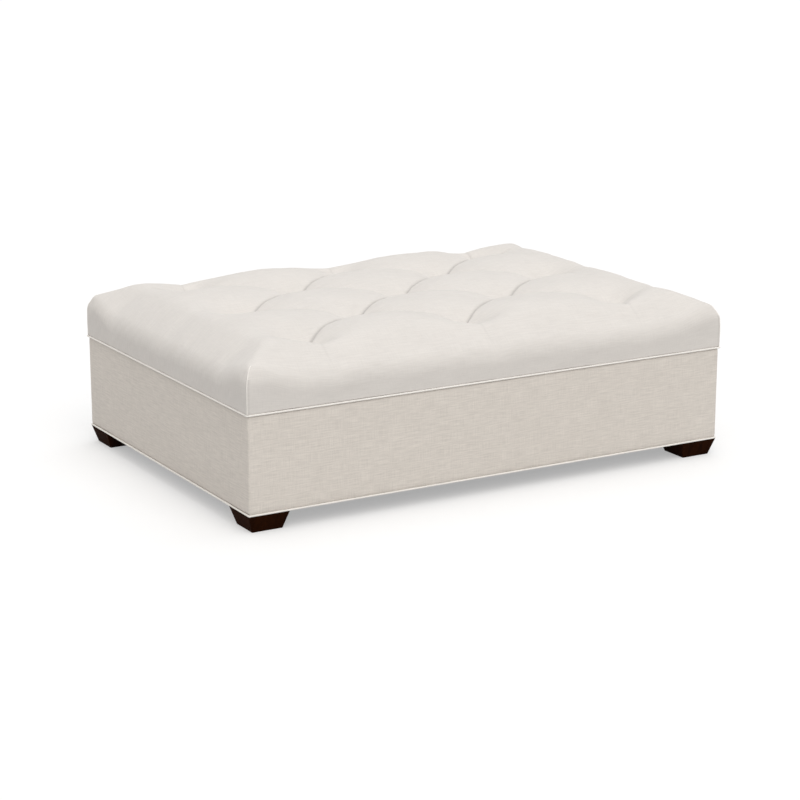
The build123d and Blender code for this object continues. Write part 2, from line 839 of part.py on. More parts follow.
def main():
    """Build every sub-part and write one file for each."""
    parts = {}
    parts["front_panel"] = long_panel(-1)
    parts["back_panel"] = drilled_back_panel()
    side_panel = drilled_side(short_panel(1))
    parts["right_panel"], parts["left_panel"] = both_sides(side_panel)
    parts["floor_panel"] = floor_panel()
    parts["floor_cleats"] = floor_cleats()
    parts["floor_bearers"] = floor_bearers()
    parts["corner_blocks"] = group([corner_block(sx, sy) for sx, sy in corners])
    names = {(-1, -1): "front_left", (1, -1): "front_right", (-1, 1): "back_left", (1, 1): "back_right"}
    for place, name in names.items():
        parts["foot_" + name] = foot(*place)
    parts["foot_bolts"] = group([foot_bolt(sx, sy) for sx, sy in corners])
    parts["foot_nuts"] = group([foot_nut(sx, sy) for sx, sy in corners])

    parts["cover_front"] = base_cover(-1, True)
    parts["cover_back"] = base_cover(1, True).cut(*hinge_notches())
    parts["cover_right"] = base_cover(1, False)
    parts["cover_left"] = base_cover(-1, False)
    parts["base_welt"] = welt(base_half_x, base_half_y, base_corner_radius, base_bottom)
    parts["lining_front"] = wall_lining(-1, True)
    parts["lining_back"] = wall_lining(1, True)
    parts["lining_right"], parts["lining_left"] = both_sides(drilled_side(wall_lining(1, False)))
    parts["lining_floor"] = floor_lining()
    parts["dust_cover"] = dust_cover()

    inner_form = tufted_form(cover_thickness, deck_bottom)
    above_foam = block(
        -ottoman_length, ottoman_length, -ottoman_width, ottoman_width, foam_top, crest + overrun
    )
    parts["lid_deck"] = drilled_over_bracket(lid_deck())
    foam = lid_hull(cover_thickness, deck_top) - above_foam
    parts["foam_core"] = foam.cut(*twine_bores(deck_top - overrun, foam_top + overrun))
    fill = tufted_form(cover_thickness + fill_clearance, deck_bottom) & above_foam
    parts["soft_fill"] = fill.cut(*twine_bores(foam_top - overrun, crest))
    parts["tufted_cover"] = tufted_cover(inner_form)
    parts["lid_welt"] = welt(lid_half_x, lid_half_y, lid_corner_radius, lid_bottom)
    parts["lid_lining"] = drilled_over_bracket(lid_lining())
    parts["tuft_twines"] = group([twine(x, y) for x, y in tuft_places])
    parts["tuft_washers"] = group([washer(x, y) for x, y in tuft_places])

    hinge_middles = {"right": hinge_spacing / 2, "left": -hinge_spacing / 2}
    for name, middle in hinge_middles.items():
        parts["hinge_base_leaf_" + name] = hinge_leaf(middle, False)
        parts["hinge_lid_leaf_" + name] = hinge_leaf(middle, True)
    parts["hinge_pins"] = group([hinge_pin(middle) for middle in hinge_middles.values()])
    parts["hinge_base_screws"] = group([leaf_screw(x, False) for x in leaf_screw_places()])
    parts["hinge_lid_screws"] = group([leaf_screw(x, True) for x in leaf_screw_places()])

    parts["strut_tube_right"], parts["strut_tube_left"] = both_sides(strut_tube())
    parts["strut_rod_right"], parts["strut_rod_left"] = both_sides(strut_rod())
    parts["strut_wall_brackets"] = group(both_sides(wall_bracket()))
    parts["strut_lid_brackets"] = group(both_sides(lid_bracket()))
    wall_screws = [piece for side in (-1, 1) for piece in both_sides(wall_screw(side))]
    parts["strut_wall_screws"] = group(wall_screws)
    lid_screws = [piece for side in (-1, 1) for piece in both_sides(lid_bracket_screw(side))]
    parts["strut_lid_screws"] = group(lid_screws)

    os.makedirs("parts", exist_ok=True)
    for name, shape in parts.items():
        export_step(shape, "parts/" + name + ".step")


main()
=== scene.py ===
import bpy
import math
import numpy as np
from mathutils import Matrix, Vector


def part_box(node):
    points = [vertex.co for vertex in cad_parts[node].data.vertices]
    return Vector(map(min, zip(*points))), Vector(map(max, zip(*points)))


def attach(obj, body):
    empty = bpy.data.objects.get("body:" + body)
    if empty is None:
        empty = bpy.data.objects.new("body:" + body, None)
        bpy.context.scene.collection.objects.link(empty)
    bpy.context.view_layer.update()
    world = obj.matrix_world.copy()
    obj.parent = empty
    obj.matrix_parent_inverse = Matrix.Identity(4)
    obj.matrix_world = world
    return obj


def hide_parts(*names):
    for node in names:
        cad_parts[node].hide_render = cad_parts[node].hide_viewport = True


# Lengths are in metres. The front is -y, and the hinges of the lid are at the back.

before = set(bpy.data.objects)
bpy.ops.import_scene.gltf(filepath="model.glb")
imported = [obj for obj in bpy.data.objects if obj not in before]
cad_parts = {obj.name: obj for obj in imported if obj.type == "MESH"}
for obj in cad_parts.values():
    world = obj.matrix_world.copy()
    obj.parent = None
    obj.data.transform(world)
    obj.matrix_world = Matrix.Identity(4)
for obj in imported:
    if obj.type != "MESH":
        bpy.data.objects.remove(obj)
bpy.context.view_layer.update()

# cosine of 45 degrees
DIAGONAL = 0.7071


# Small helpers

def waves(x, y, size, seed, count=14):
    """Smooth noise from a few fixed plane waves, about -1 to 1, with bumps of about the given size."""
    rng = np.random.default_rng(seed)
    total = np.zeros(np.broadcast(x, y).shape)
    for _ in range(count):
        angle = rng.uniform(0, 2 * math.pi)
        k = 2 * math.pi / (size * rng.uniform(0.7, 1.8))
        total += np.sin(k * (math.cos(angle) * x + math.sin(angle) * y) + rng.uniform(0, 2 * math.pi))
    return total / math.sqrt(count) / 1.2


def eased(t):
    """A smooth step from 0 to 1."""
    t = np.clip(t, 0, 1)
    return t * t * (3 - 2 * t)


def smooth_min(a, b, k):
    """The lower of two heights, with the meeting rounded over k."""
    h = np.maximum(k - np.abs(a - b), 0) / k
    return np.minimum(a, b) - h * h * k / 4


def grid_faces(n, m, closed_n=False, closed_m=False):
    """Faces with four corners over a grid of n by m points, joined round in a closed direction."""
    rows = np.arange(n if closed_n else n - 1)
    cols = np.arange(m if closed_m else m - 1)
    i, j = np.meshgrid(rows, cols, indexing="ij")
    i2, j2 = (i + 1) % n, (j + 1) % m
    return np.stack([i * m + j, i2 * m + j, i2 * m + j2, i * m + j2], -1)


def without_loose(faces, count):
    """The points that the faces use, out of count points, and the faces with the new numbers."""
    used = np.unique(faces)
    renumber = np.full(count, -1)
    renumber[used] = np.arange(len(used))
    return used, renumber[faces]


def make_mesh(name, points, faces, uv=None, values=None):
    """A smooth-shaded mesh object from arrays of points and of faces with the same number of corners."""
    faces = np.asarray(faces)
    corner_count = faces.shape[1]
    mesh = bpy.data.meshes.new(name)
    mesh.vertices.add(len(points))
    mesh.vertices.foreach_set("co", np.asarray(points, np.float32).ravel())
    mesh.loops.add(faces.size)
    mesh.loops.foreach_set("vertex_index", faces.astype(np.int32).ravel())
    mesh.polygons.add(len(faces))
    mesh.polygons.foreach_set("loop_start", np.arange(0, faces.size, corner_count, dtype=np.int32))
    mesh.polygons.foreach_set("loop_total", np.full(len(faces), corner_count, np.int32))
    mesh.polygons.foreach_set("use_smooth", np.ones(len(faces), bool))
    mesh.update()
    if uv is not None:
        layer = mesh.uv_layers.new(name="cloth")
        layer.data.foreach_set("uv", np.asarray(uv, np.float32)[faces.ravel()].ravel())
    for key, data in (values or {}).items():
        attribute = mesh.attributes.new(key, "FLOAT", "POINT")
        attribute.data.foreach_set("value", np.asarray(data, np.float32))
    mesh.validate()
    obj = bpy.data.objects.new(name, mesh)
    bpy.context.scene.collection.objects.link(obj)
    return obj


def point_normals(points, triangles):
    """Area-weighted normals at the points."""
    a, b, c = (points[triangles[:, i]] for i in range(3))
    n = np.cross(b - a, c - a)
    out = np.zeros_like(points)
    for i in range(3):
        np.add.at(out, triangles[:, i], n)
    return out / np.maximum(np.linalg.norm(out, axis=1, keepdims=True), 1e-12)


# Materials

def material(name):
    """A new material, with its nodes, its links and its shader."""
    m = bpy.data.materials.new(name)
    m.use_nodes = True
    nodes, links = m.node_tree.nodes, m.node_tree.links
    shader = nodes["Principled BSDF"]
    return m, nodes, links, shader


def noise_node(nodes, links, vector, scale, detail, rough):
    """The value of a noise texture."""
    n = nodes.new("ShaderNodeTexNoise")
    n.inputs["Scale"].default_value = scale
    n.inputs["Detail"].default_value = detail
    n.inputs["Roughness"].default_value = rough
    links.new(vector, n.inputs["Vector"])
    return n.outputs["Fac"]


def stretched(nodes, links, vector, scale):
    """A place scaled along each axis."""
    n = nodes.new("ShaderNodeMapping")
    n.inputs["Scale"].default_value = scale
    links.new(vector, n.inputs["Vector"])
    return n.outputs["Vector"]


def remap(nodes, links, value, low, high, to_low, to_high):
    """A value carried from one range to another, and held inside it."""
    n = nodes.new("ShaderNodeMapRange")
    n.inputs["From Min"].default_value = low
    n.inputs["From Max"].default_value = high
    n.inputs["To Min"].default_value = to_low
    n.inputs["To Max"].default_value = to_high
    links.new(value, n.inputs["Value"])
    return n.outputs["Result"]


def maths(nodes, links, kind, a, b=None):
    """One operation on one or two numbers or sockets."""
    n = nodes.new("ShaderNodeMath")
    n.operation = kind
    for socket, value in zip(n.inputs, (a, b)):
        if value is None:
            continue
        if isinstance(value, (int, float)):
            socket.default_value = value
        else:
            links.new(value, socket)
    return n.outputs[0]


def tinted(nodes, links, colour, factor):
    """A colour, fixed or from a socket, multiplied by a grey factor socket."""
    n = nodes.new("ShaderNodeVectorMath")
    n.operation = "SCALE"
    if isinstance(colour, tuple):
        n.inputs[0].default_value = colour
    else:
        links.new(colour, n.inputs[0])
    links.new(factor, n.inputs["Scale"])
    return n.outputs["Vector"]


def bumped(nodes, links, shader, height, distance, strength):
    """A bump of the shader's surface from a height socket."""
    n = nodes.new("ShaderNodeBump")
    n.inputs["Strength"].default_value = strength
    n.inputs["Distance"].default_value = distance
    links.new(height, n.inputs["Height"])
    links.new(n.outputs["Normal"], shader.inputs["Normal"])


def linen(name, colour, slub, painted_shade=0.0, sheen=0.15):
    """Woven cloth with uneven threads both ways, from the cloth's own flat coordinates.

    slub is how far the threads differ in shade; the other number is how much darker the cloth is painted at
    full painted shade, which the mesh carries for its creases, tuft pits, corner seams and sides.
    """
    m, nodes, links, shader = material(name)
    uv = nodes.new("ShaderNodeUVMap")
    uv.uv_map = "cloth"
    flat = uv.outputs["UV"]
    weft = noise_node(nodes, links, stretched(nodes, links, flat, (24, 330, 1)), 1, 3.0, 0.65)
    warp = noise_node(nodes, links, stretched(nodes, links, flat, (520, 30, 1)), 1, 2.0, 0.5)
    thread = noise_node(nodes, links, stretched(nodes, links, flat, (900, 1500, 1)), 1, 1.0, 0.5)
    cloud = noise_node(nodes, links, stretched(nodes, links, flat, (9, 14, 1)), 1, 3.0, 0.5)
    shade = remap(nodes, links, weft, 0.25, 0.75, 1 - slub, 1 + slub)
    half_slub = slub / 2
    for noise, low, high, change in (
        (warp, 0.25, 0.75, half_slub),
        (thread, 0.2, 0.8, half_slub),
        (cloud, 0.3, 0.7, 0.015),
    ):
        factor = remap(nodes, links, noise, low, high, 1 - change, 1 + change)
        shade = maths(nodes, links, "MULTIPLY", shade, factor)
    # painted shade from the mesh's attribute: darker in the creases, round the tufts, along the corner seams
    # and on the sides
    if painted_shade:
        a = nodes.new("ShaderNodeAttribute")
        a.attribute_name = "painted_shade"
        factor = remap(nodes, links, a.outputs["Fac"], 0, 1, 1, 1 - painted_shade)
        shade = maths(nodes, links, "MULTIPLY", shade, factor)
    links.new(tinted(nodes, links, colour, shade), shader.inputs["Base Color"])
    height = maths(nodes, links, "ADD", weft, maths(nodes, links, "MULTIPLY", warp, 0.5))
    height = maths(nodes, links, "ADD", height, maths(nodes, links, "MULTIPLY", thread, 0.7))
    bumped(nodes, links, shader, height, 0.0005, 0.5)
    shader.inputs["Roughness"].default_value = 0.92
    shader.inputs["Specular IOR Level"].default_value = 0.2
    shader.inputs["Sheen Weight"].default_value = sheen
    shader.inputs["Sheen Roughness"].default_value = 0.5
    return m


def wood(name, light, dark, along, rough=0.6, ring=60.0, line=500.0, shine=0.5):
    """Wood with long grain along one axis, broad bands and fine pores."""
    m, nodes, links, shader = material(name)
    where = nodes.new("ShaderNodeTexCoord").outputs["Object"]
    squeeze = [1.0, 1.0, 1.0]
    squeeze[along] = 0.06
    grain = stretched(nodes, links, where, squeeze)
    band = noise_node(nodes, links, grain, ring, 3.0, 0.55)
    pore = noise_node(nodes, links, grain, line, 2.0, 0.6)
    cloud = noise_node(nodes, links, where, 6.0, 2.0, 0.5)
    mix = nodes.new("ShaderNodeMix")
    mix.data_type = "RGBA"
    mix.inputs["A"].default_value = (*dark, 1)
    mix.inputs["B"].default_value = (*light, 1)
    bands = remap(nodes, links, band, 0.3, 0.7, 0.0, 0.7)
    pores = remap(nodes, links, pore, 0.3, 0.7, 0.0, 0.3)
    links.new(maths(nodes, links, "ADD", bands, pores), mix.inputs["Factor"])
    tone = remap(nodes, links, cloud, 0.3, 0.7, 0.9, 1.1)
    links.new(tinted(nodes, links, mix.outputs["Result"], tone), shader.inputs["Base Color"])
    bumped(nodes, links, shader, maths(nodes, links, "ADD", band, pore), 0.0002, 0.5)
    links.new(remap(nodes, links, pore, 0.3, 0.7, rough + 0.08, rough - 0.05), shader.inputs["Roughness"])
    shader.inputs["Specular IOR Level"].default_value = shine
    return m


def plywood(name, colour, along, ply=0.0034):
    """Thin veneers stacked upward, each pair ply high, with a grained face."""
    m, nodes, links, shader = material(name)
    where = nodes.new("ShaderNodeTexCoord").outputs["Object"]
    squeeze = [1.0, 1.0, 0.2]
    squeeze[along] = 0.05
    grain = stretched(nodes, links, where, squeeze)
    band = noise_node(nodes, links, grain, 45.0, 3.0, 0.55)
    pore = noise_node(nodes, links, grain, 420.0, 2.0, 0.6)
    xyz = nodes.new("ShaderNodeSeparateXYZ")
    links.new(where, xyz.inputs[0])
    plies = maths(nodes, links, "SINE", maths(nodes, links, "MULTIPLY", xyz.outputs["Z"], 2 * math.pi / ply))
    normal = nodes.new("ShaderNodeNewGeometry").outputs["Normal"]
    up = nodes.new("ShaderNodeSeparateXYZ")
    links.new(normal, up.inputs[0])
    edge = maths(nodes, links, "SUBTRACT", 1.0, maths(nodes, links, "ABSOLUTE", up.outputs["Z"]))
    layered = maths(nodes, links, "MULTIPLY", edge, remap(nodes, links, plies, -0.3, 0.3, -0.25, 0.0))
    shade = maths(nodes, links, "ADD", remap(nodes, links, band, 0.3, 0.7, 0.8, 1.1), layered)
    shade = maths(nodes, links, "MULTIPLY", shade, remap(nodes, links, pore, 0.3, 0.7, 0.93, 1.05))
    links.new(tinted(nodes, links, colour, shade), shader.inputs["Base Color"])
    bumped(nodes, links, shader, pore, 0.0002, 0.4)
    shader.inputs["Roughness"].default_value = 0.65
    return m


def metal(name, colour, rough, metallic=1.0, scratch=0.08):
    """Plated or painted metal with faint wear."""
    m, nodes, links, shader = material(name)
    where = nodes.new("ShaderNodeTexCoord").outputs["Object"]
    fine = noise_node(nodes, links, where, 900.0, 3.0, 0.6)
    cloud = noise_node(nodes, links, where, 60.0, 2.0, 0.5)
    tone = remap(nodes, links, cloud, 0.3, 0.7, 1 - scratch, 1 + scratch)
    links.new(tinted(nodes, links, colour, tone), shader.inputs["Base Color"])
    links.new(remap(nodes, links, fine, 0.3, 0.7, rough - 0.06, rough + 0.1), shader.inputs["Roughness"])
    bumped(nodes, links, shader, fine, 0.00005, 0.4)
    shader.inputs["Metallic"].default_value = metallic
    return m


def cord_look(name, colour):
    """Twisted thread."""
    m, nodes, links, shader = material(name)
    where = nodes.new("ShaderNodeTexCoord").outputs["Object"]
    wave = nodes.new("ShaderNodeTexWave")
    wave.bands_direction = "DIAGONAL"
    wave.inputs["Scale"].default_value = 260.0
    wave.inputs["Distortion"].default_value = 0.6
    links.new(where, wave.inputs["Vector"])
    shade = remap(nodes, links, wave.outputs["Fac"], 0, 1, 0.75, 1.08)
    links.new(tinted(nodes, links, colour, shade), shader.inputs["Base Color"])
    bumped(nodes, links, shader, wave.outputs["Fac"], 0.0004, 0.6)
    shader.inputs["Roughness"].default_value = 0.85
    return m


# 0.28: the lid cloth is up to 28% darker where the mesh carries painted shade, in creases, tuft pits, along
#       the corner seams and on the sides
upholstery = linen("upholstery_linen", (0.730, 0.699, 0.667), slub=0.048, painted_shade=0.28)
# the base's cover is the lid's linen painted a little darker and warmer: painted shade near the floor and
# painted warm light bounced from it
shaded_base_linen = linen("upholstery_linen_base_shaded", (0.712, 0.666, 0.614), slub=0.112)
# the welt and seam cords are painted lighter than the cover's linen: a painted highlight along them
highlit_welt_linen = linen("highlit_welt_linen", (0.90, 0.87, 0.83), slub=0.05)
lining_cloth = linen("lining_cloth", (0.42, 0.39, 0.35), slub=0.05, sheen=0.0)
dust_cloth = linen("dust_cloth", (0.022, 0.022, 0.024), slub=0.2, sheen=0.0)
foot_light, foot_dark = (0.026, 0.0065, 0.0014), (0.007, 0.0018, 0.0006)
foot_wood = wood("foot_wood", foot_light, foot_dark, 2, rough=0.7, ring=70, line=700, shine=0.02)
board_light, board_dark = (0.62, 0.45, 0.27), (0.42, 0.27, 0.14)
board_x = wood("board_wood_x", board_light, board_dark, 0)
board_y = wood("board_wood_y", board_light, board_dark, 1)
ply_x = plywood("plywood_x", (0.56, 0.40, 0.24), 0)
zinc = metal("zinc_steel", (0.56, 0.57, 0.59), 0.34)
black_paint = metal("black_steel", (0.016, 0.016, 0.017), 0.38, metallic=0.0)
chrome = metal("rod_chrome", (0.78, 0.79, 0.80), 0.12, scratch=0.02)
twine_look = cord_look("twine", (0.62, 0.56, 0.44))

node_looks = {
    "front_panel": board_x, "back_panel": board_x, "left_panel": board_y, "right_panel": board_y,
    "floor_panel": ply_x, "floor_cleats": board_x, "floor_bearers": board_y, "corner_blocks": board_x,
    "foot_front_left": foot_wood, "foot_front_right": foot_wood,
    "foot_back_left": foot_wood, "foot_back_right": foot_wood,
    "foot_bolts": zinc, "foot_nuts": zinc,
    "hinge_base_leaf_left": zinc, "hinge_base_leaf_right": zinc,
    "hinge_lid_leaf_left": zinc, "hinge_lid_leaf_right": zinc,
    "hinge_pins": zinc, "hinge_base_screws": zinc, "hinge_lid_screws": zinc,
    "strut_wall_brackets": black_paint, "strut_wall_screws": zinc,
    "strut_lid_brackets": black_paint, "strut_lid_screws": zinc,
    "lid_deck": ply_x, "tuft_twines": twine_look, "tuft_washers": zinc,
    "strut_tube_left": black_paint, "strut_tube_right": black_paint,
    "strut_rod_left": chrome, "strut_rod_right": chrome,
}
for node, look in node_looks.items():
    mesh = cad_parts[node].data
    mesh.materials.clear()
    mesh.materials.append(look)


# The tufted top of the lid

top_low, top_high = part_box("tufted_cover")
lid_x, lid_y = top_high.x, top_high.y
lid_bottom, crest = top_low.z, top_high.z

# the tufts, half a diamond apart, and the last column and row of them
col, row = 0.215, 0.154
last_x, last_y = 2 * col, 2 * row
tufts = [(0, 0)]
tufts += [(2 * sx * col, 0) for sx in (-1, 1)] + [(0, 2 * sy * row) for sy in (-1, 1)]
tufts += [(n * sx * col, n * sy * row) for n in (1, 2) for sx in (-1, 1) for sy in (-1, 1)]

# biscuits between diagonal pleats, and the strips between the last tufts and the edge
pleat_depth = 0.0195
pleat_swell = 2.4
edge_depth = 0.060
edge_swell = 2.4
edge_reach = 0.174
edge_softness = 0.02
edge_softening = 0.5
# a strip has a form of its own from 1 / edge_join of its width outward
edge_join = 3
# the sharp line at the bottom of a pleat, and the share of it that falling and straight pleats have
groove_depth = 0.0035
groove_width = 0.0032
falling_groove = 0.6
straight_groove = 0.5
# the dish round a tuft and the pit in its middle
tuft_depth = 0.031
tuft_reach = 0.050
pit_depth = 0.004
pit_reach = 0.006
# the straight pleats run out over the roll as faint dips
pleat_run_depth = 0.004
pleat_run_width = 0.028
pleat_run_ease = 0.05
# painted shade along a pleat and round a tuft
crease_shade_width = 0.003
falling_crease_shade = 0.55
pit_shade = 0.8
pit_shade_reach = 0.010

# the hull over the biscuits: start of its roll, radius, and angle that the roll turns through
hull_top = crest + 0.047
corner_roll = (lid_bottom + 0.076, 0.0445, math.radians(62))
side_roll = (lid_bottom + 0.040, 0.066, math.radians(47))
# how far from an edge the corner's roll begins to change into the side's, and over what length
side_start = 0.012
side_ease = 0.15
# roundings: of the corners in plan, of the mitre on the hull, and between hull and biscuits
lid_corner = 0.004
corner_ease = 0.011
field_ease = 0.018

# the mesh: cells in half a diamond, rows of the roll and of the sides, and rows that ease into the sides
grid = 64
roll_rows = 26
side_rows = 20
blend_rows = 8
# plan width at the edge that the roll's own rows take up
roll_room = 0.034
# height where the sides begin to turn under, then inset and height of the rows round the edge
hem_start = 0.0062
hem = ((0.0006, 0.0050), (0.0022, 0.0044), (0.0040, 0.0030), (0.0044, 0.0010), (0.0046, 0.00005))

# the corners are drawn in where they turn over into the top: how far, at what height, and how wide
corner_draw = 0.005
draw_level = 0.094
draw_height = 0.016
draw_width = 0.028
# painted shade: a painted shadow along the corner seams in front, and the sides painted a little darker than
# the top
seam_shade = 0.9
seam_width = 0.0045
seam_top = 0.100
seam_front = 0.003
side_shade = 0.16
side_shade_top = 0.092
side_shade_fade = 0.050

# depth, size and seed of the soft waves of the cloth
lid_waves = ((0.0007, 0.16, 3), (0.00035, 0.05, 5))
# nothing of the cloth is nearer to the base than this
least_lift = 0.00003
# small folds that run out of the tufts
fold_depth = 0.0011
fold_reach = 0.034
fold_start = 0.012

# the tubes on the corner seams
seam_radius = 0.0011
seam_lift = 0.0002
corner_names = {(-1, -1): "front_left", (1, -1): "front_right", (-1, 1): "back_left", (1, 1): "back_right"}


def lid_stations(half, step, roll):
    """Places from the middle out over one edge of the lid, down its side and round under it.

    Gives their plan places, hull heights, cloth lengths, and the number of the one where the roll ends.
    """
    start, radius, turn = roll
    crown = (hull_top - start - radius * math.sin(turn)) / (1 - math.sin(turn))
    crown_start = half - radius + (radius - crown) * math.cos(turn)
    plan = [i * step for i in range(int((half - roll_room) / step))]
    over = np.maximum(np.array(plan) - crown_start, 0)
    height = list(hull_top - crown + np.sqrt(crown ** 2 - over ** 2))
    for i in range(roll_rows + 1):
        angle = turn * (1 - i / roll_rows)
        plan.append(half - radius + radius * math.cos(angle))
        height.append(start + radius * math.sin(angle))
    bend = len(plan) - 1
    low = lid_bottom + hem_start
    for i in range(1, side_rows + 1):
        plan.append(half)
        height.append(start + (low - start) * i / side_rows)
    for inset, lift in hem:
        plan.append(half - inset)
        height.append(lid_bottom + lift)
    plan, height = np.array(plan), np.array(height)
    length = np.concatenate([[0], np.cumsum(np.hypot(np.diff(plan), np.diff(height)))])
    return plan, height, length, bend


def mirrored(values, sign):
    """Values from the middle out, with the same ones, times the sign, before them in reverse."""
    return np.concatenate([sign * values[:0:-1], values])


def edge_biscuit(across, out):
    """Depth in a strip between a row of tufts and the edge; across is 1 at its pleats, out 1 at the edge."""
    start = pleat_depth * (1 - (1 - across ** pleat_swell) ** 2)
    soft = edge_softness + edge_softening * out
    rounded = np.clip(1 - np.hypot(1 - across, soft) + soft, 0, 1)
    run = edge_depth * (1 - np.sqrt(out)) * rounded ** edge_swell
    share = eased(edge_join * out)
    return start * (1 - share) + run * share


def tuft_field(x, y):
    """Height of the tufted cloth, the painted shade of its creases and tuft pits, and depth of the dips that
    cross the roll.
    """
    ax, ay = np.abs(x), np.abs(y)
    u, v = x / last_x + y / last_y, x / last_x - y / last_y
    p = np.abs(2 * (u - np.floor(u)) - 1)
    q = np.abs(2 * (v - np.floor(v)) - 1)
    out_x = np.clip((ax - last_x) / edge_reach, 0, 1)
    out_y = np.clip((ay - last_y) / edge_reach, 0, 1)
    side = (ax > last_x) & (ay <= last_y)
    end = (ay > last_y) & (ax <= last_x)
    corner = (ax > last_x) & (ay > last_y)
    outer = side | end | corner
    # the biscuits
    depth = pleat_depth * (1 - (1 - p ** pleat_swell) * (1 - q ** pleat_swell))
    depth = np.where(side, edge_biscuit(np.abs(ay / row - 1), out_x), depth)
    depth = np.where(end, edge_biscuit(np.abs(ax / col - 1), out_y), depth)
    share = eased(edge_join * np.maximum(out_x, out_y))
    both = edge_depth * (1 - np.sqrt(out_x)) * (1 - np.sqrt(out_y))
    depth = np.where(corner, pleat_depth * (1 - share) + both * share, depth)
    # distance to the nearest pleat that rises or runs straight out, and to the nearest that falls
    slope = math.hypot(1 / last_x, 1 / last_y)
    falling = np.where(outer, 1, np.abs(u - np.round(u)) / slope)
    distance = np.abs(v - np.round(v)) / slope
    off_x = np.minimum(ax, np.abs(ax - last_x))
    off_y = np.minimum(ay, np.abs(ay - last_y))
    distance = np.where(side, off_y, distance)
    distance = np.where(end, off_x, distance)
    distance = np.where(corner, np.minimum(ax - last_x, ay - last_y), distance)
    near = np.full(depth.shape, 1e3)
    for tx, ty in tufts:
        near = np.minimum(near, np.hypot(x - tx, y - ty))
    # grooves, dishes and pits, weaker outside the last tufts
    strength = (1 - out_x) ** 1.5 * (1 - out_y) ** 1.5
    sharp = np.where(outer, straight_groove, 1)
    grooves = sharp * np.exp(-distance / groove_width) + falling_groove * np.exp(-falling / groove_width)
    z = crest - depth - groove_depth * strength * grooves
    z = z - tuft_depth * np.exp(-(near / tuft_reach) ** 1.6) - pit_depth * np.exp(-near / pit_reach)
    # painted shade along the pleats and in the tuft pits
    dark = sharp * np.exp(-(distance / crease_shade_width) ** 1.5)
    painted_shade = strength * (dark + falling_crease_shade * np.exp(-(falling / crease_shade_width) ** 1.5))
    painted_shade = np.clip(painted_shade + pit_shade * np.exp(-(near / pit_shade_reach) ** 2), 0, 1)
    runs_x = np.exp(-(off_y / pleat_run_width) ** 2) * eased((ax - last_x) / pleat_run_ease)
    runs_y = np.exp(-(off_x / pleat_run_width) ** 2) * eased((ay - last_y) / pleat_run_ease)
    return z, painted_shade, pleat_run_depth * np.maximum(runs_x, runs_y)


def rounded_corner(x, y, half_x, half_y, radius):
    """Plan places drawn in so that the square corners become rounded ones."""
    dx = np.clip(np.abs(x) - (half_x - radius), 0, None)
    dy = np.clip(np.abs(y) - (half_y - radius), 0, None)
    both = (dx > 0) & (dy > 0)
    nx = np.where(both, dx * np.sqrt(np.maximum(1 - dy ** 2 / (2 * radius ** 2), 0)), dx)
    ny = np.where(both, dy * np.sqrt(np.maximum(1 - dx ** 2 / (2 * radius ** 2), 0)), dy)
    return np.sign(x) * (np.abs(x) - dx + nx), np.sign(y) * (np.abs(y) - dy + ny)


def lid_faces(index, gx, gy, ix, iy):
    """Triangles over the grid, each square split along its pleat, without the squares off the corners."""
    a, b, c, d = index[:-1, :-1], index[1:, :-1], index[1:, 1:], index[:-1, 1:]
    x, y = (gx[:-1, :-1] + gx[1:, 1:]) / 2, (gy[:-1, :-1] + gy[1:, 1:]) / 2
    u, v = x / last_x + y / last_y, x / last_x - y / last_y
    rising = np.abs(v - np.round(v)) < np.abs(u - np.round(u))
    outside = (np.abs(x) > last_x) | (np.abs(y) > last_y)
    rising = np.where(outside, x * y > 0, rising)
    up = np.concatenate([np.stack([a, b, c], -1), np.stack([a, c, d], -1)], 0)
    across = np.concatenate([np.stack([a, b, d], -1), np.stack([b, c, d], -1)], 0)
    off_x = np.minimum(ix[:-1, :-1], ix[1:, 1:]) >= 0
    off_y = np.minimum(iy[:-1, :-1], iy[1:, 1:]) >= 0
    kept = ~(off_x & off_y)
    pick = np.concatenate([rising, rising], 0)
    keep = np.concatenate([kept, kept], 0)
    return np.where(pick[..., None], up, across)[keep].reshape(-1, 3)


def corners_drawn(points, painted_shade):
    """Draws the corners in, and gives the painted shade of the creases with the painted shade of the seams
    and sides added.
    """
    from_x = lid_x - np.abs(points[:, 0]) - lid_corner
    from_y = lid_y - np.abs(points[:, 1]) - lid_corner
    from_corner = np.hypot(from_x, from_y)
    level = np.exp(-((points[:, 2] - lid_bottom - draw_level) / draw_height) ** 2)
    draw = corner_draw * level * np.exp(-(from_corner / draw_width) ** 2)
    points[:, :2] -= np.sign(points[:, :2]) * draw[:, None] * DIAGONAL
    # a painted shadow along the front of each corner seam, and painted shade on the sides, darker than the
    # top
    in_front = (points[:, 2] < lid_bottom + seam_top) * (lid_y + points[:, 1] < seam_front)
    seams = seam_shade * (np.exp(-(from_corner / seam_width) ** 2) * in_front)
    sides = side_shade * eased((lid_bottom + side_shade_top - points[:, 2]) / side_shade_fade)
    return np.maximum(np.maximum(painted_shade, seams), sides)


def lid_unevenness(x, y, z):
    """How far the cloth stands off its smooth surface: soft waves, and small folds out of the tufts."""
    lay = sum(depth * waves(x, y + z, size, seed) for depth, size, seed in lid_waves)
    folds = np.zeros(len(x))
    rng = np.random.default_rng(11)
    for tx, ty in tufts:
        dx, dy = x - tx, y - ty
        r, turn = np.hypot(dx, dy), np.arctan2(dy, dx)
        ray = sum(rng.uniform(0.4, 1) * np.cos(n * turn + rng.uniform(0, 6.3)) for n in (5, 7, 9, 13))
        folds += fold_depth * ray * np.exp(-(r / fold_reach) ** 2) * np.clip(r / fold_start, 0, 1)
    return lay + folds


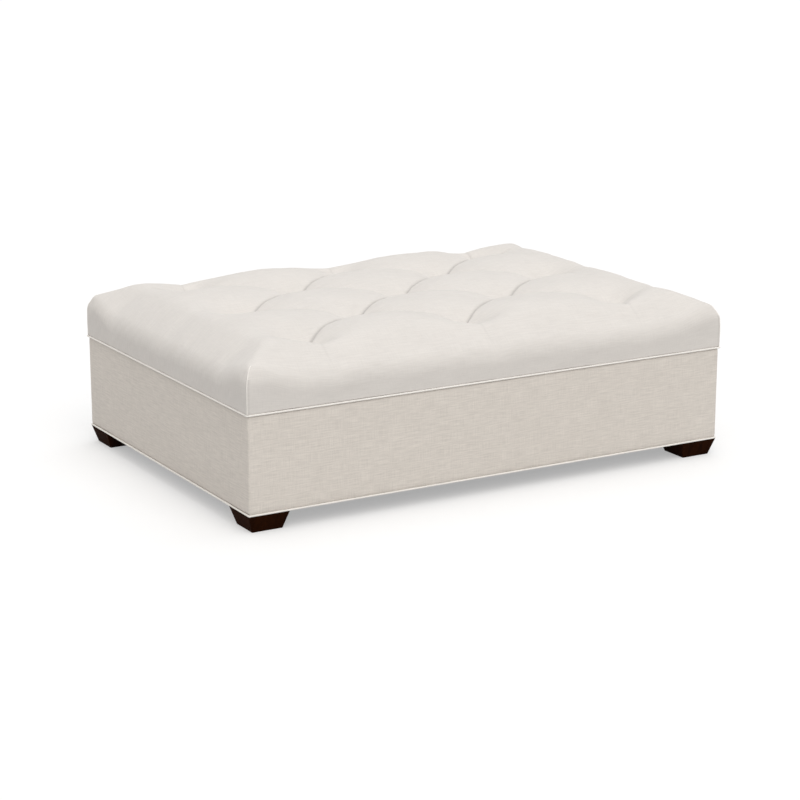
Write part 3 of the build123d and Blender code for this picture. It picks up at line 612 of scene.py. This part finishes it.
def tufted_top():
    """The stuffed cover: biscuits, pleats, rolled edges, sides and the turned-under edge.

    Gives the object, and the points along each of its corners for the seams.
    """
    px, hx, sx, bend_x = lid_stations(lid_x, col / grid, corner_roll)
    py, hy, sy, bend_y = lid_stations(lid_y, row / grid, corner_roll)
    mid_px, mid_hx = lid_stations(lid_x, col / grid, side_roll)[:2]
    mid_py, mid_hy = lid_stations(lid_y, row / grid, side_roll)[:2]
    nx, ny = len(px), len(py)
    # the sides roll over lower and softer between the corners
    mid_x = eased((lid_x - mirrored(px, 1) - side_start) / side_ease)[:, None]
    mid_y = eased((lid_y - mirrored(py, 1) - side_start) / side_ease)[None, :]
    gx = mirrored(px, -1)[:, None] + mirrored(mid_px - px, -1)[:, None] * mid_y
    gy = mirrored(py, -1)[None, :] + mirrored(mid_py - py, -1)[None, :] * mid_x
    zx = mirrored(hx, 1)[:, None] + mirrored(mid_hx - hx, 1)[:, None] * mid_y
    zy = mirrored(hy, 1)[None, :] + mirrored(mid_hy - hy, 1)[None, :] * mid_x
    # rows past the end of the roll, each way
    past_x = np.abs(np.arange(2 * nx - 1) - (nx - 1)) - bend_x
    past_y = np.abs(np.arange(2 * ny - 1) - (ny - 1)) - bend_y
    ix, iy = np.meshgrid(past_x, past_y, indexing="ij")
    past = np.maximum(ix, iy)
    field, painted_shade, swale = tuft_field(gx, gy)
    top = smooth_min(smooth_min(zx, zy, corner_ease) - swale, field, field_ease)
    wall = np.minimum(zx, zy)
    z = np.where(past > 0, wall, top)
    blend = np.clip(1 + past / blend_rows, 0, 1)
    z = np.where(past > 0, z, z + blend ** 2 * (wall - z) * (past > -blend_rows))
    x, y = rounded_corner(gx, gy, lid_x, lid_y, lid_corner)
    points = np.stack([x, y, z], -1).reshape(-1, 3)
    index = np.arange(points.shape[0]).reshape(gx.shape)
    # below the roll, the two faces share the corner edge
    for cx, cy in corner_names:
        ex, ey = (nx - 1) + cx * bend_x, (ny - 1) + cy * bend_y
        for k in range(1, nx - bend_x):
            index[ex, ey + cy * k] = index[ex + cx * k, ey]
    faces = lid_faces(index, gx, gy, ix, iy)
    painted_shade = corners_drawn(points, painted_shade.ravel())
    uneven = lid_unevenness(gx.ravel(), gy.ravel(), points[:, 2])
    points = points + point_normals(points, faces) * uneven[:, None]
    points[:, 2] = np.maximum(points[:, 2], lid_bottom + least_lift)
    uv = np.stack(np.meshgrid(mirrored(sx, -1), mirrored(sy, -1), indexing="ij"), -1).reshape(-1, 2)
    k = np.arange(-roll_rows + 2, side_rows + 1)
    edge_path = {}
    for cx, cy in corner_names:
        ids = index[(nx - 1) + cx * (bend_x + k), (ny - 1) + cy * (bend_y + np.minimum(k, 0))]
        edge_path[(cx, cy)] = points[ids]
    used, faces = without_loose(faces, len(points))
    obj = make_mesh("tufted_top", points[used], faces, uv[used], {"painted_shade": painted_shade[used]})
    return obj, edge_path


def tube(name, path, radius, closed, sides, wobble, seed, wobble_size=0.03):
    """A round cord of cloth along a path of points; wobble is the share by which its radius varies."""
    path = np.asarray(path, float)
    n = len(path)
    if closed:
        tangent = np.roll(path, -1, 0) - np.roll(path, 1, 0)
    else:
        tangent = np.gradient(path, axis=0)
    tangent /= np.linalg.norm(tangent, axis=1, keepdims=True)
    # any direction that the path doesn't take
    up = np.array([0, 0, 1.0]) if closed else np.array([0.3, 0.4, 0.0])
    side = np.cross(tangent, up)
    side /= np.linalg.norm(side, axis=1, keepdims=True)
    lift = np.cross(side, tangent)
    step = np.linalg.norm(np.diff(path, axis=0, append=path[:1]), axis=1)
    along = np.concatenate([[0], np.cumsum(step)[:-1]])
    angle = np.arange(sides) * 2 * math.pi / sides
    size = radius * (1 + wobble * waves(along, along * 0, wobble_size, seed))
    spoke_x = np.cos(angle)[None, :, None] * side[:, None]
    spoke_y = np.sin(angle)[None, :, None] * lift[:, None]
    ring = size[:, None, None] * (spoke_x + spoke_y)
    points = (path[:, None] + ring).reshape(-1, 3)
    faces = grid_faces(n, sides, closed, True).reshape(-1, 4)
    # the bias-cut cloth of a piped cord runs slantwise
    u, v = np.repeat(along, sides), np.tile(angle * radius, n)
    uv = np.stack([(u + v) * DIAGONAL, (u - v) * DIAGONAL], -1)
    return make_mesh(name, points, faces, uv)


def rounded_loop(half_x, half_y, radius, z, step=0.004, turn=10):
    """Points round a rounded rectangle, about a step apart, with turn steps round each corner."""
    out = []
    for sx, sy, start in ((1, 1, 0), (-1, 1, 90), (-1, -1, 180), (1, -1, 270)):
        for k in range(turn + 1):
            a = math.radians(start + 90 * k / turn)
            x = sx * (half_x - radius) + radius * math.cos(a)
            y = sy * (half_y - radius) + radius * math.sin(a)
            out.append((x, y, z))
    full = []
    for i, p in enumerate(out):
        q = out[(i + 1) % len(out)]
        gap = math.dist(p, q)
        parts = max(1, int(gap / step))
        for k in range(parts):
            full.append([p[m] + (q[m] - p[m]) * k / parts for m in range(3)])
    return np.array(full)


top, edge_path = tufted_top()
top.data.materials.append(upholstery)
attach(top, "lid")
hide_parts("tufted_cover", "foam_core", "soft_fill")

for place, name in corner_names.items():
    # out of the corner and a little up
    outward = np.array([place[0], place[1], 0.15]) / math.sqrt(2.02)
    path = edge_path[place] + outward * seam_lift
    seam = tube("lid_seam_" + name, path, seam_radius, False, sides=10, wobble=0.12, seed=21)
    seam.data.materials.append(highlit_welt_linen)
    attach(seam, "lid")


# Piped welts

def piping(name, node, body, stand_out, corner):
    """The cord round an edge, in the place of the CAD's, standing out further by stand_out."""
    low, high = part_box(node)
    radius = (high.z - low.z) / 2
    half_x = high.x - radius + stand_out
    half_y = high.y - radius + stand_out
    path = rounded_loop(half_x, half_y, corner - radius, (low.z + high.z) / 2)
    obj = tube(name, path, radius, True, sides=18, wobble=0.03, seed=8)
    obj.data.materials.append(highlit_welt_linen)
    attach(obj, body)
    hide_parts(node)


piping("lid_piping", "lid_welt", "lid", stand_out=0.0014, corner=0.0045)
piping("base_piping", "base_welt", "base", stand_out=0.0006, corner=0.0045)


# Covers of the base

base_low, base_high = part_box("cover_front")
base_x, base_y = base_high.x, -base_low.y
base_bottom, rim_top = base_low.z, base_high.z
board_x_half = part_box("right_panel")[1].x
board_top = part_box("front_panel")[1].z
# depth from the cover's face to the boards, and how far the section stays outside them
skin = base_x - board_x_half
clear = 0.0001
# the bottom edge, where the cover turns under: inset and height, and where the flat face starts
base_hem = ((0.0042, clear), (0.0038, 0.0030), (0.0018, 0.0044), (0.0004, 0.0056))
face_start = 0.0060
# the rim: its level, how far in it reaches, its outer and inner rounding, the strip turned down inside, and
# insets of the rows across it
rim_level = rim_top + 0.0022
rim_depth = 0.0255
rim_radius = 0.0032
inner_radius = 0.001
return_bottom = rim_top - 0.045
return_thick = 0.0014
rim_insets = (0.006, 0.012, 0.018)
# the corners' radius outside and its least value inside, and the length beside them that spreads to it
base_corner = 0.0035
least_corner = 0.00005
corner_zone = 0.045
# how far the flat faces stand out, how far under the rim that starts, and the height over which it grows
face_push = 0.0007
face_tolerance = 0.0001
push_top = 0.003
push_fade = 0.01
# depth, size and seed of their broad and fine waves, and the most that both give
broad_wave = (0.0005, 0.22, 17)
fine_wave = (0.00018, 0.05, 19)
wave_limit = 0.0006
# rows up the face and steps of the rounded rim and corner, and distance between rows along a side
face_rows = 45
rim_steps = 6
inner_steps = 4
return_rows = 8
corner_steps = 6
side_step = 0.006
# flat distance from one side's cloth to the next one's
side_pitch = 2.3
# the sides are counted front, right, back, left
BACK = 2
# the notches in the rim at the back, for the leaves of the hinges: the gap round a leaf, how far the cover
# goes down under it, and half the width of the step down
leaf_gap = 0.0005
notch_drop = 0.00005
cut_half = 1e-5
leaf_low, leaf_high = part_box("hinge_base_leaf_right")
notch_middle = (leaf_low.x + leaf_high.x) / 2
notch_half = (leaf_high.x - leaf_low.x) / 2 + leaf_gap
notch_inside = leaf_low.y - leaf_gap


def cover_section():
    """Inset from the outside face, and height, round the closed section of a cover."""
    out = [(skin - clear, base_bottom + clear)]
    out += [(inset, base_bottom + lift) for inset, lift in base_hem]
    face = rim_level - rim_radius - base_bottom - face_start
    for k in range(1, face_rows):
        out.append((0.0, base_bottom + face_start + face * k / face_rows))
    for k in range(rim_steps + 1):
        a = math.pi / 2 * k / rim_steps
        out.append((rim_radius * (1 - math.cos(a)), rim_level - rim_radius + rim_radius * math.sin(a)))
    notch = base_y - notch_inside
    for inset in (*rim_insets, notch - 2 * cut_half, notch + 2 * cut_half):
        out.append((inset, rim_level))
    for k in range(inner_steps + 1):
        a = math.pi / 2 * k / inner_steps
        inset = rim_depth - inner_radius * (1 - math.sin(a))
        out.append((inset, rim_level - inner_radius * (1 - math.cos(a))))
    drop = rim_level - inner_radius - return_bottom
    for k in range(1, return_rows + 1):
        out.append((rim_depth, rim_level - inner_radius - drop * k / return_rows))
    out += [(rim_depth - return_thick, return_bottom), (rim_depth - return_thick, board_top - clear)]
    out.append((skin - clear, board_top - clear))
    return np.array(out)


def cover_stations():
    """Rows round the base: side, place along it, and how far round the corner that ends it, -1 before it."""
    stations = []
    for side, half in enumerate((base_x, base_y, base_x, base_y)):
        reach = half - base_corner
        marks = list(np.linspace(-reach, reach, int(2 * reach / side_step) + 1))
        if side == BACK:
            for middle in (-notch_middle, notch_middle):
                for end in (middle - notch_half, middle + notch_half):
                    marks += [end - cut_half, end + cut_half]
        stations += [(side, t, -1.0) for t in sorted(marks)]
        stations += [(side, reach, k / corner_steps) for k in range(1, corner_steps)]
    return stations


def base_cover():
    """One cover round the whole base: outside, rim and the strip turned in."""
    section = cover_section()
    inset, height = section[:, 0], section[:, 1]
    along = np.concatenate([[0], np.cumsum(np.hypot(np.diff(inset), np.diff(height)))])
    stations = cover_stations()
    rows = []
    lengths = []
    for side, t, turn in stations:
        half, other = (base_x, base_y) if side % 2 == 0 else (base_y, base_x)
        r = np.maximum(base_corner - inset, least_corner)
        corner_u = half - inset - r
        corner_v = other - inset - r
        if turn < 0:
            start = half - corner_zone
            share = (abs(t) - start) / (half - base_corner - start)
            u = np.sign(t) * np.where(abs(t) > start, start + share * (corner_u - start), abs(t))
            v = other - inset
            lengths.append(t)
        else:
            a = math.pi / 2 * turn
            u = corner_u + r * math.sin(a)
            v = corner_v + r * math.cos(a)
            lengths.append(half - base_corner + base_corner * math.pi / 2 * turn)
        x, y = ((u, -v), (v, u), (-u, v), (-v, -u))[side]
        z = height.copy()
        in_notch = min(abs(t - notch_middle), abs(t + notch_middle)) < notch_half
        if side == BACK and turn < 0 and in_notch:
            z = np.where((z > board_top) & (y > notch_inside), board_top - notch_drop, z)
        rows.append(np.stack([x, y, z], -1))
    n, m = len(stations), len(section)
    faces = grid_faces(n, m, True, True).reshape(-1, 4)
    points = np.array(rows).reshape(-1, 3)
    # the flat faces stand out a little and unevenly
    outside = np.tile(inset, n) < face_tolerance
    faces_x = np.abs(np.abs(points[:, 0]) - base_x) < 2 * face_tolerance
    z = points[:, 2]
    u = np.where(faces_x, points[:, 1], points[:, 0])
    broad = broad_wave[0] * waves(u + 3 * points[:, 0], z, *broad_wave[1:])
    fine = fine_wave[0] * waves(u + 2 * points[:, 1], z, *fine_wave[1:])
    lay = np.clip(broad + fine, -wave_limit, wave_limit) + face_push
    from_bottom = np.clip((z - base_bottom - base_hem[-1][1]) / push_fade, 0, 1)
    from_top = np.clip((rim_level - push_top - z) / push_fade, 0, 1)
    push = np.where(outside, lay * (from_bottom * from_top), 0)
    points[:, 0] += np.where(faces_x, np.sign(points[:, 0]) * push, 0)
    points[:, 1] += np.where(faces_x, 0, np.sign(points[:, 1]) * push)
    sides = np.array([side for side, _, _ in stations])
    uv = np.stack([np.repeat(lengths, m) + np.repeat(sides, m) * side_pitch, np.tile(along, n)], -1)
    return make_mesh("base_cover", points, faces, uv)


cover = base_cover()
cover.data.materials.append(shaded_base_linen)
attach(cover, "base")
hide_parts("cover_front", "cover_back", "cover_left", "cover_right")


# Linings and dust cover, each a stretched sheet

sheet_step = 0.012
# the waves: their size, depth and greatest depth as shares of the CAD sheet's thickness, and where they fade
sheet_wave_size = 0.11
sheet_wave = 0.22
sheet_limit = 0.24
sheet_fade = 0.02
# how deep in that thickness the sheet lies
sheet_inside = 0.25
# room round the feet
foot_gap = 0.001


def cloth_sheet(name, node, body, axis, face, look, seed, holes=None):
    """A cloth over the flat of a node: axis is its thin direction and face the side it shows.

    holes gives the two distances from the middle past which the four corners are cut out.
    Gives the object, its flat size and, with holes, its area.
    """
    low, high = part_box(node)
    others = [k for k in range(3) if k != axis]
    spans = [(low[k], high[k]) for k in others]
    flat = (spans[0][1] - spans[0][0], spans[1][1] - spans[1][0])
    a, b = (np.linspace(*span, max(2, int(size / sheet_step)) + 1) for span, size in zip(spans, flat))
    if holes:
        a = np.unique(np.concatenate([a, [-holes[0], holes[0]]]))
        b = np.unique(np.concatenate([b, [-holes[1], holes[1]]]))
    ga, gb = np.meshgrid(a, b, indexing="ij")
    depth = high[axis] - low[axis]
    level = (high[axis] - sheet_inside * depth) if face > 0 else (low[axis] + sheet_inside * depth)
    edge = np.minimum.reduce([ga - spans[0][0], spans[0][1] - ga, gb - spans[1][0], spans[1][1] - gb])
    lay = sheet_wave * depth * waves(ga, gb, sheet_wave_size, seed) * np.clip(edge / sheet_fade, 0, 1)
    points = np.zeros((*ga.shape, 3))
    points[..., others[0]], points[..., others[1]] = ga, gb
    points[..., axis] = level + np.clip(lay, -sheet_limit * depth, sheet_limit * depth)
    points = points.reshape(-1, 3)
    faces = grid_faces(*ga.shape)
    area = None
    if holes:
        mid_a, mid_b = (a[:-1] + a[1:]) / 2, (b[:-1] + b[1:]) / 2
        cut = (np.abs(mid_a)[:, None] > holes[0]) & (np.abs(mid_b)[None, :] > holes[1])
        faces = faces[~cut]
        area = flat[0] * flat[1] - 4 * (spans[0][1] - holes[0]) * (spans[1][1] - holes[1])
    used, faces = without_loose(faces.reshape(-1, 4), len(points))
    uv = np.stack([ga, gb], -1).reshape(-1, 2)
    obj = make_mesh(name, points[used], faces, uv[used])
    obj.data.materials.append(look)
    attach(obj, body)
    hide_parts(node)
    return obj, flat, area


for name, node, axis, face, board in (
    ("lining_cloth_front", "lining_front", 1, 1, "front_panel"),
    ("lining_cloth_back", "lining_back", 1, -1, "back_panel"),
    ("lining_cloth_left", "lining_left", 0, 1, "left_panel"),
    ("lining_cloth_right", "lining_right", 0, -1, "right_panel"),
    ("lining_cloth_floor", "lining_floor", 2, 1, "floor_panel"),
):
    obj, flat, _ = cloth_sheet(name, node, "base", axis, face, lining_cloth, 31 + axis)
obj, flat, _ = cloth_sheet("lining_cloth_lid", "lid_lining", "lid", 2, -1, lining_cloth, 37)
foot_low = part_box("foot_back_right")[0]
foot_holes = (foot_low.x - foot_gap, foot_low.y - foot_gap)
obj, flat, area = cloth_sheet(
    "dust_cloth_under", "dust_cover", "base", 2, -1, dust_cloth, 41, holes=foot_holes
)


# Floor, light and camera

def seen_directly(nodes, links):
    """1 for what is seen, also in metal and through glass, and 0 for the light that falls on things."""
    path = nodes.new("ShaderNodeLightPath")
    seen = maths(nodes, links, "MAXIMUM", path.outputs["Is Camera Ray"], path.outputs["Is Transmission Ray"])
    return maths(nodes, links, "MAXIMUM", seen, path.outputs["Is Glossy Ray"])


def floor_plane(grey, glow, half=40.0):
    """A pale floor, made white by a glow that lights nothing else."""
    m, nodes, links, shader = material("studio_floor")
    where = nodes.new("ShaderNodeTexCoord").outputs["Object"]
    cloud = noise_node(nodes, links, where, 3.0, 2.0, 0.5)
    tone = remap(nodes, links, cloud, 0.3, 0.7, 0.995, 1.005)
    links.new(tinted(nodes, links, (grey, grey, grey), tone), shader.inputs["Base Color"])
    shader.inputs["Emission Color"].default_value = (1, 1, 1, 1)
    strength = maths(nodes, links, "MULTIPLY", seen_directly(nodes, links), glow)
    links.new(strength, shader.inputs["Emission Strength"])
    shader.inputs["Roughness"].default_value = 0.9
    shader.inputs["Specular IOR Level"].default_value = 0.0
    corners = np.array([(-half, -half, 0), (half, -half, 0), (half, half, 0), (-half, half, 0)])
    plane = make_mesh("studio_floor", corners, np.array([[0, 1, 2, 3]]))
    plane.data.materials.append(m)


floor_plane(grey=0.61, glow=0.385)

# the world lights the object less strongly, and in a warmer white, than the camera sees it
world_light = 0.60
world_colour = (1.0, 0.975, 0.95, 1)
world = bpy.data.worlds.new("studio")
bpy.context.scene.world = world
world.use_nodes = True
nodes, links = world.node_tree.nodes, world.node_tree.links
background = nodes["Background"]
white = seen_directly(nodes, links)
links.new(remap(nodes, links, white, 0, 1, world_light, 1.0), background.inputs["Strength"])
sky = nodes.new("ShaderNodeMix")
sky.data_type = "RGBA"
sky.inputs["A"].default_value = world_colour
sky.inputs["B"].default_value = (1, 1, 1, 1)
links.new(white, sky.inputs["Factor"])
links.new(sky.outputs["Result"], background.inputs["Color"])


def direction_to(azimuth, elevation):
    """Direction from the object to a lamp or camera; azimuth 0 is in front and 90 degrees at the right."""
    a, e = math.radians(azimuth), math.radians(elevation)
    return Vector((math.sin(a) * math.cos(e), -math.cos(a) * math.cos(e), math.sin(e)))


def aimed(name, data, direction):
    """A lamp or camera that looks against the direction."""
    obj = bpy.data.objects.new(name, data)
    obj.rotation_mode = "QUATERNION"
    obj.rotation_quaternion = (-direction).to_track_quat("-Z", "Y")
    bpy.context.scene.collection.objects.link(obj)
    return obj


def sun(name, power, azimuth, elevation, angle, colour):
    """A soft sun."""
    data = bpy.data.lights.new(name, "SUN")
    data.energy = power
    data.angle = math.radians(angle)
    data.color = colour
    aimed(name, data, direction_to(azimuth, elevation))


sun("key", power=0.58, azimuth=130, elevation=72, angle=50, colour=(0.93, 1.0, 1.07))
sun("fill", power=1.27, azimuth=-14, elevation=49, angle=60, colour=(1.0, 0.985, 0.96))

# fitted to the photograph's corner points
camera = bpy.data.cameras.new("camera")
camera.lens = 101.88
camera.sensor_width = 36
camera.clip_start, camera.clip_end = 0.1, 200
view = aimed("camera", camera, direction_to(-30.13, 14.75))
view.location = (-2.8009, -4.8253, 1.5938)
bpy.context.scene.camera = view
bpy.context.scene.view_settings.view_transform = "Standard"
